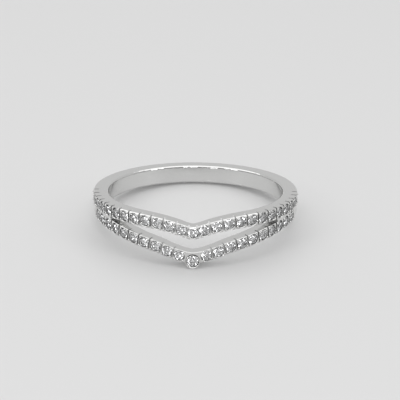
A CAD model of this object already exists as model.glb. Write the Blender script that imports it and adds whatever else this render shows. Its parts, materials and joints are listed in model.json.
# %% [markdown]
# # A chevron ring in polished white gold
# The ring is a plain band that splits at the front into two rails. Each rail dips into a V and carries a row of
# small round stones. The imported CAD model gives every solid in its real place, so this lesson only has to give
# them surfaces: smooth normals, metal that is polished but stays dull in its cuts, and clear stones.

import json
import math

import bpy
import numpy as np
from mathutils import Matrix, Vector


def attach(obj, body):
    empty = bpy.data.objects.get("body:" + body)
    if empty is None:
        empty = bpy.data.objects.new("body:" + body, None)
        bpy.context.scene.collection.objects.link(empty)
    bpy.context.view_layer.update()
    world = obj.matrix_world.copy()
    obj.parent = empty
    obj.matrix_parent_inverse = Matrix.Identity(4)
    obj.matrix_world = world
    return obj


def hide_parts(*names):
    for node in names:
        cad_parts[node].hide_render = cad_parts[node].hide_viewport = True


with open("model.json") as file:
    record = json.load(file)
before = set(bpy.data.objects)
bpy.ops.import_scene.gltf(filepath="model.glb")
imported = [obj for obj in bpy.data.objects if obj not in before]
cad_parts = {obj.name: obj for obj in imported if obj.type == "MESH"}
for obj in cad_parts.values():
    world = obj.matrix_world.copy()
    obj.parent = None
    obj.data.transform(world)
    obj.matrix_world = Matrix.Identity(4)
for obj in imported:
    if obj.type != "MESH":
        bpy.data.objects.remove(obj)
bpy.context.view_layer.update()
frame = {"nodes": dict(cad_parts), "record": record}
nodes = frame["nodes"]
stones = sorted(name for name in nodes if "stone" in name)
print("nodes", len(nodes), "stones", len(stones))

# %% [markdown]
# ## The ring's own measures
# All of Blender's lengths are metres, and a ring is easier to think of in millimetres, so one number turns one into
# the other. The ring lies on its side and leans back, because its lower V hangs below the plain band. The finger
# hole's axis and radius are what the smooth normals need later. Heights are counted along that axis, from the
# band's flat upper edge.

# %% Sizes of the band
MM = 0.001
BORE_R = 8.65 * MM
OUTER_R = 10.15 * MM
HOLE_PLACE_DOWN = 1.0 * MM  # the hole's stated place lies this far under the flat upper edge
hole = next(m for m in frame["record"]["mounts"] if m["name"] == "finger_hole")
AXIS = np.array(hole["axis"]) / np.linalg.norm(hole["axis"])
ON_AXIS = np.array(hole["pos_m"]) + AXIS * HOLE_PLACE_DOWN
ACROSS = np.array([1.0, 0.0, 0.0])
BACKWARDS = np.cross(AXIS, ACROSS)
print("lean back, degrees", round(math.degrees(math.atan2(AXIS[1], AXIS[2])), 2))


def ring_places(points):
    """Radius, angle from the V's tip and height of points, measured from the finger hole's axis.

    The height is the share along the axis, the radius is the length of what is left, and the angle is that
    remainder's direction, counted from the front."""
    offset = points - ON_AXIS
    height = offset @ AXIS
    across, back = offset @ ACROSS, offset @ BACKWARDS
    return np.hypot(across, back), np.arctan2(across, -back), height


def outwards_at(angle):
    """Unit vectors from the axis, at angles from the V's tip: the sine goes across, the cosine to the front."""
    return np.sin(angle)[:, None] * ACROSS - np.cos(angle)[:, None] * BACKWARDS


# %% [markdown]
# ## Polished surfaces need true normals
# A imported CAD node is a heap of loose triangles, and a mirror finish shows each of them. The triangles are joined
# where their corners meet, and then each corner gets its own normal. On the two round walls that normal is known
# exactly: it is the direction from the axis. Everywhere else, neighbouring faces share a normal if they meet at a
# small angle, and keep their own at a real edge.

# %% Join the triangles of a CAD node
SHARP = math.radians(20)


def joined_triangles(node):
    """Corner points and triangles of a CAD node, with equal corners made one.

    Equal coordinates are found by sorting all of them at once, and each triangle then names the shared corner."""
    mesh = nodes[node].data
    points = np.empty(len(mesh.vertices) * 3, np.float32)
    mesh.vertices.foreach_get("co", points)
    mesh.calc_loop_triangles()
    corners = np.empty(len(mesh.loop_triangles) * 3, np.int32)
    mesh.loop_triangles.foreach_get("vertices", corners)
    shared, which = np.unique(points.reshape(-1, 3), axis=0, return_inverse=True)
    triangles = which.reshape(-1)[corners].reshape(-1, 3)
    a, b, c = triangles.T
    return shared.astype(float), triangles[(a != b) & (b != c) & (c != a)]


def mesh_object(name, points, faces):
    """A new mesh object at the origin, from arrays of points and triangles."""
    mesh = bpy.data.meshes.new(name)
    mesh.from_pydata(points.tolist(), [], faces.tolist())
    mesh.update()
    made = bpy.data.objects.new(name, mesh)
    bpy.context.scene.collection.objects.link(made)
    return made


points, triangles = joined_triangles("ring_body")
band = mesh_object("band", points, triangles)
print("band points", len(points), "triangles", len(triangles))

# %% Give the round walls their exact normals
WALL_TOLERANCE = 0.02 * MM


def corner_normals(mesh):
    """Every face corner's normal as an array, as Blender works it out from the sharp edges."""
    found = np.empty(len(mesh.loops) * 3, np.float32)
    mesh.corner_normals.foreach_get("vector", found)
    return found.reshape(-1, 3).astype(float)


def round_wall_normals(points, triangles, normals):
    """The normals with those on the finger hole and on the outer face made exact.

    A triangle lies on a round wall if all its corners have that wall's radius. Its normals are then the unit
    vector from the axis through each corner, turned inwards in the finger hole."""
    radius, angle, _ = ring_places(points)
    outwards = outwards_at(angle)
    exact = normals.reshape(-1, 3, 3).copy()
    for wall, side in ((OUTER_R, 1), (BORE_R, -1)):
        on_wall = (abs(radius[triangles] - wall) < WALL_TOLERANCE).all(axis=1)
        exact[on_wall] = side * outwards[triangles[on_wall]]
        print("triangles on the wall of radius", round(wall / MM, 2), "mm:", int(on_wall.sum()))
    return exact.reshape(-1, 3)


band.data.polygons.foreach_set("use_smooth", np.ones(len(triangles), bool))
band.data.set_sharp_from_angle(angle=SHARP)
normals = round_wall_normals(points, triangles, corner_normals(band.data))

# %% [markdown]
# ## Rounded inner edges
# A ring is worn, so its edges beside the finger are rounded, while the outer ones keep a crisp bevel. The CAD model
# has two flat strips for each quarter circle. More strips would make it rounder, but here the normals are enough:
# each corner gets the one that a true quarter circle has there, and the eye reads the two strips as one curve.

# %% Turn the normals on the rounded edges
ROUND = 0.22 * MM
ROUND_FACING = (0.2, 0.97)  # least and most inward share of a strip's own normal
NO_AREA = 1e-15  # a sliver counts as this large, so that nothing is divided by zero


def rounded_edge_normals(points, triangles, normals):
    """The normals with those on the rounded inner edges made a quarter circle's.

    A triangle is on such an edge if all its corners lie less than the rounding's radius outside the finger hole,
    and it faces partly inwards. At each corner, the inward share of the normal is one minus the distance from the
    wall over the rounding's radius, and the rest lies along the triangle's own normal with its inward part off."""
    radius, angle, _ = ring_places(points)
    inwards = -outwards_at(angle)[triangles]
    a, b, c = points[triangles].transpose(1, 0, 2)
    facing = np.cross(b - a, c - a)
    facing /= np.maximum(np.linalg.norm(facing, axis=1), NO_AREA)[:, None]
    own_share = (inwards * facing[:, None]).sum(axis=2)
    near = (radius[triangles] < BORE_R + ROUND + WALL_TOLERANCE).all(axis=1)
    mean_share = own_share.mean(axis=1)
    edge = near & (mean_share > ROUND_FACING[0]) & (mean_share < ROUND_FACING[1])
    sideways = facing[edge][:, None] - own_share[edge][..., None] * inwards[edge]
    sideways /= np.linalg.norm(sideways, axis=2)[..., None]
    share = np.clip(1 - (radius[triangles[edge]] - BORE_R) / ROUND, 0, 1)[..., None]
    turned = normals.reshape(-1, 3, 3).copy()
    turned[edge] = share * inwards[edge] + np.sqrt(1 - share**2) * sideways
    print("triangles on rounded edges", int(edge.sum()))
    return turned.reshape(-1, 3)


normals = rounded_edge_normals(points, triangles, normals)
band.data.normals_split_custom_set(normals.tolist())

# %% [markdown]
# ## Where the metal is left as cut
# A setter polishes the outside, but the graver's grooves and the seats under the stones stay darker: they are
# narrow, and no buff reaches their floor. So the band gets two finishes. Four facts about each triangle tell them
# apart: how deep it lies under the outer face, how far it faces outwards, how far it faces along the axis, and how
# near it is to the round head's own line.

# %% Find the triangles in the cuts
WALL_DEPTH = 0.07 * MM
FLOOR_DEPTH = 0.12 * MM
UPRIGHT = 0.3  # a wall's normal points outwards by less than this share
FLAT_EDGE = 0.9  # a flat edge's normal lies along the axis by at least this share
HEAD_HEIGHT = -4.272 * MM  # the round head's own line, under the flat upper edge
HEAD_COLLAR = (0.58 * MM, 0.68 * MM)  # the head's outside lies between these distances from its line


def in_cuts(points, triangles, normals):
    """True for each triangle in a groove, a notch or a seat.

    A wall of a cut is deeper than the beads' waists and faces hardly outwards. A floor is deeper than the bevels.
    Left out are the rounded edges beside the finger hole, the rails' flat edges, which face along the axis, and
    the outside of the round head, whose distance from the head's own line lies between two radii."""
    middles = points[triangles].mean(axis=1)
    radius, angle, height = ring_places(middles)
    facing = normals.reshape(-1, 3, 3).mean(axis=1)
    upright = abs((facing * outwards_at(angle)).sum(axis=1)) < UPRIGHT
    from_head = np.hypot(radius * np.sin(angle), height - HEAD_HEIGHT)
    collar = (from_head > HEAD_COLLAR[0]) & (from_head < HEAD_COLLAR[1]) & (np.cos(angle) > 0)
    depth = OUTER_R - radius
    deep = (depth > FLOOR_DEPTH) | ((depth > WALL_DEPTH) & upright)
    return deep & (radius > BORE_R + ROUND) & (abs(facing @ AXIS) < FLAT_EDGE) & ~collar


cuts = in_cuts(points, triangles, normals)
print("triangles in the cuts", int(cuts.sum()), "of", len(cuts))

# %% [markdown]
# ## Colours
# A hex colour is stored for screens, with more steps for dark tones, but light adds up in linear numbers. One
# function turns the first into the second, so every colour below can be read as it would be in a paint program.

# %% Turn a screen colour to a linear one


def linear(hex_colour):
    """Linear red, green, blue and alpha of an sRGB hex colour.

    Each channel is divided by 12.92 when it is dark, and otherwise raised to the power 2.4 after a shift."""
    channels = [int(hex_colour[i : i + 2], 16) / 255 for i in (1, 3, 5)]
    return [c / 12.92 if c <= 0.04045 else ((c + 0.055) / 1.055) ** 2.4 for c in channels] + [1.0]


def new_material(name):
    """An empty node material, and the tree to add nodes to."""
    material = bpy.data.materials.new(name)
    material.use_nodes = True
    material.node_tree.nodes.clear()
    return material, material.node_tree


def add(tree, kind, links=(), **settings):
    """Adds a node. Settings are its own properties, or its inputs by name; links join outputs to its inputs."""
    node = tree.nodes.new(kind)
    for name, value in settings.items():
        if hasattr(node, name):
            setattr(node, name, value)
        else:
            node.inputs[name.replace("_", " ")].default_value = value
    for source, output, target in links:
        tree.links.new(source.outputs[output], node.inputs[target])
    return node


# %% [markdown]
# ## Polished white gold
# White gold is cast, filed, and buffed on felt wheels until it mirrors the room, and then plated with rhodium,
# which makes it whiter. One way to draw it is a perfect mirror, but that looks like a computer's ring: buffing
# leaves hairlines a few hundredths of a millimetre apart, and patches where the wheel pressed harder. The
# hairlines are too fine to show here, so they are drawn ten times as coarse, as a faint bump. The patches are a
# slow noise in the roughness, and soften one part of a reflection more than another.

# %% Make the polished metal
HAIRLINES_PER_MM = 3.0  # really about 30
HAIRLINE_STRENGTH = 0.25
PATCHES_PER_MM = 0.35
NOISE_SPAN = (0.3, 0.7)  # a noise could go from 0 to 1, but hardly leaves this part


def white_gold(name, hex_colour, roughness, hairline_depth):
    """White gold whose roughness wanders between two values, with faint hairlines in the bump.

    Roughness is a map of a noise with the size of a buffed patch, and the bump's height is a finer noise."""
    material, tree = new_material(name)
    place = add(tree, "ShaderNodeTexCoord")
    patches = add(
        tree, "ShaderNodeTexNoise", [(place, "Object", "Vector")], Scale=PATCHES_PER_MM / MM, Detail=3.0
    )
    spread = add(
        tree,
        "ShaderNodeMapRange",
        [(patches, "Fac", "Value")],
        From_Min=NOISE_SPAN[0],
        From_Max=NOISE_SPAN[1],
        To_Min=roughness[0],
        To_Max=roughness[1],
    )
    lines = add(
        tree, "ShaderNodeTexNoise", [(place, "Object", "Vector")], Scale=HAIRLINES_PER_MM / MM, Detail=4.0
    )
    relief = add(
        tree,
        "ShaderNodeBump",
        [(lines, "Fac", "Height")],
        Strength=HAIRLINE_STRENGTH,
        Distance=hairline_depth,
    )
    metal = add(
        tree,
        "ShaderNodeBsdfPrincipled",
        [(spread, "Result", "Roughness"), (relief, "Normal", "Normal")],
        Base_Color=linear(hex_colour),
        Metallic=1.0,
    )
    add(tree, "ShaderNodeOutputMaterial", [(metal, "BSDF", "Surface")])
    return material


polished = white_gold("polished_white_gold", "#DCDCDB", (0.06, 0.13), 0.002 * MM)
as_cut = white_gold("cut_white_gold", "#C6C6C6", (0.28, 0.42), 0.01 * MM)
band.data.materials.append(polished)
band.data.materials.append(as_cut)
band.data.polygons.foreach_set("material_index", cuts.astype(np.int32))
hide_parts("ring_body")
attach(band, "root")
print("band finishes", [m.name for m in band.data.materials])

# %% [markdown]
# ## Clear stones
# Each stone is a round brilliant: a flat table, a crown of sloping facets and a deep pavilion that sends light back
# up. Diamond bends light strongly, with an index of 2.42, and its facets are flat, so the CAD solids stay as they
# are, with one normal for each facet. Only the material is new.

# %% Make the stones' material
DIAMOND_INDEX = 2.42
DRIFT_PER_MM = 0.4


def diamond(name, hex_colours):
    """Diamond whose tint drifts between two colours, by a noise a few stones wide."""
    material, tree = new_material(name)
    place = add(tree, "ShaderNodeTexCoord")
    drift = add(tree, "ShaderNodeTexNoise", [(place, "Object", "Vector")], Scale=DRIFT_PER_MM / MM, Detail=1.0)
    tint = add(tree, "ShaderNodeValToRGB", [(drift, "Fac", "Fac")])
    for stop, hex_colour in zip(tint.color_ramp.elements, hex_colours):
        stop.color = linear(hex_colour)
    clear = add(
        tree,
        "ShaderNodeBsdfPrincipled",
        [(tint, "Color", "Base Color")],
        Metallic=0.0,
        Roughness=0.0,
        IOR=DIAMOND_INDEX,
        Transmission_Weight=1.0,
    )
    add(tree, "ShaderNodeOutputMaterial", [(clear, "BSDF", "Surface")])
    return material


clear_stone = diamond("diamond", ("#F4F5F7", "#FFFFFF"))
for name in stones:
    nodes[name].data.materials.clear()
    nodes[name].data.materials.append(clear_stone)
print("stones dressed", len(stones))

# %% [markdown]
# ## The studio
# A polished ring shows mostly what is around it, so the room matters as much as the metal. Small jewellery is
# photographed in a white box, lit through its roof: that roof is the white line along the edges of the band. The
# floor is a sheet of opal acrylic that glows a little from below, which keeps the shadows light. The side with the
# camera stays darker, because clear stones need something dark to reflect, and four small lights there make them
# sparkle. So the room's own light is a ramp from front to back. The Standard view shows each colour as it comes,
# without the curve of a film.

# %% Lay the floor
FLOOR_HALF = 600 * MM
RIPPLES_PER_MM = 0.2
RIPPLE_DEPTH = 0.01 * MM
FLOOR_GLOW = 0.13
corners = np.array([[-1, -1, 0], [1, -1, 0], [1, 1, 0], [-1, 1, 0]]) * FLOOR_HALF
floor = mesh_object("floor", corners, np.array([[0, 1, 2], [0, 2, 3]]))
opal_sheet, tree = new_material("opal_acrylic")
place = add(tree, "ShaderNodeTexCoord")
ripple = add(tree, "ShaderNodeTexNoise", [(place, "Object", "Vector")], Scale=RIPPLES_PER_MM / MM, Detail=2.0)
relief = add(tree, "ShaderNodeBump", [(ripple, "Fac", "Height")], Strength=0.1, Distance=RIPPLE_DEPTH)
acrylic = add(
    tree,
    "ShaderNodeBsdfPrincipled",
    [(relief, "Normal", "Normal")],
    Base_Color=linear("#BDBDBD"),
    Roughness=0.6,
    Emission_Color=linear("#FFFFFF"),
    Emission_Strength=FLOOR_GLOW,
)
add(tree, "ShaderNodeOutputMaterial", [(acrylic, "BSDF", "Surface")])
floor.data.materials.append(opal_sheet)
print("floor", round(2 * FLOOR_HALF, 2), "m wide")

# %% Light the room
RAMP_SPAN = (-0.95, 0.1)  # Y of the directions it runs between; -1 points to the front and 1 to the back
RAMP_LIGHT = (0.16, 0.66)  # the room's strength at these two

world = bpy.data.worlds.new("studio")
bpy.context.scene.world = world
world.use_nodes = True
world.node_tree.nodes.clear()
tree = world.node_tree
place = add(tree, "ShaderNodeTexCoord")
axes = add(tree, "ShaderNodeSeparateXYZ", [(place, "Generated", "Vector")])
front_dark = add(
    tree,
    "ShaderNodeMapRange",
    [(axes, "Y", "Value")],
    From_Min=RAMP_SPAN[0],
    From_Max=RAMP_SPAN[1],
    To_Min=RAMP_LIGHT[0],
    To_Max=RAMP_LIGHT[1],
)
air = add(tree, "ShaderNodeBackground", [(front_dark, "Result", "Strength")], Color=linear("#FFFFFF"))
add(tree, "ShaderNodeOutputWorld", [(air, "Background", "Surface")])


def softbox(name, place_mm, size_mm, watts):
    """An area light that looks at the ring, at a place and with a width and height in millimetres."""
    light = bpy.data.lights.new(name, "AREA")
    light.shape = "RECTANGLE"
    light.size, light.size_y = size_mm[0] * MM, size_mm[1] * MM
    light.energy = watts
    lamp = bpy.data.objects.new(name, light)
    lamp.location = Vector(place_mm) * MM
    lamp.rotation_euler = (-lamp.location).to_track_quat("-Z", "Y").to_euler()
    bpy.context.scene.collection.objects.link(lamp)


SOFTBOXES = (  # name, place and size in millimetres, watts
    ("light_above", (-20, 30, 320), (640, 640), 1.05),
    ("light_left", (-260, -180, 200), (80, 80), 0.12),
    ("light_right", (280, -140, 180), (80, 80), 0.1),
    ("light_front", (40, -260, 260), (80, 80), 0.14),
    ("light_low_left", (-120, -300, 90), (60, 60), 0.06),
)
for box in SOFTBOXES:
    softbox(*box)
bpy.context.scene.view_settings.view_transform = "Standard"

# %% [markdown]
# ## The camera
# The camera's angle was worked out from the plain band: its circles show as ellipses, whose flattening gives the
# height of view. It stands a little to the right of the V's tip, about 165 mm away, and looks down at 25 degrees.

# %% Place the camera
CAMERA_MM = (3.598, -149.257, 72.612)
AIM_MM = (0.460, 0.001, 2.335)
ROLL = math.radians(0.22)
VIEW_WIDTH_PX = 400
FOCAL_PX = 1655.1

camera = bpy.data.objects.new("camera", bpy.data.cameras.new("camera"))
camera.location = Vector(CAMERA_MM) * MM
towards = Vector(AIM_MM) * MM - camera.location
camera.rotation_euler = (
    towards.to_track_quat("-Z", "Y").to_matrix() @ Matrix.Rotation(ROLL, 3, "Z")
).to_euler()
camera.data.angle = 2 * math.atan(VIEW_WIDTH_PX / 2 / FOCAL_PX)
camera.data.clip_start = 1 * MM
bpy.context.scene.collection.objects.link(camera)
bpy.context.scene.camera = camera
print("view width, degrees", round(math.degrees(camera.data.angle), 2))
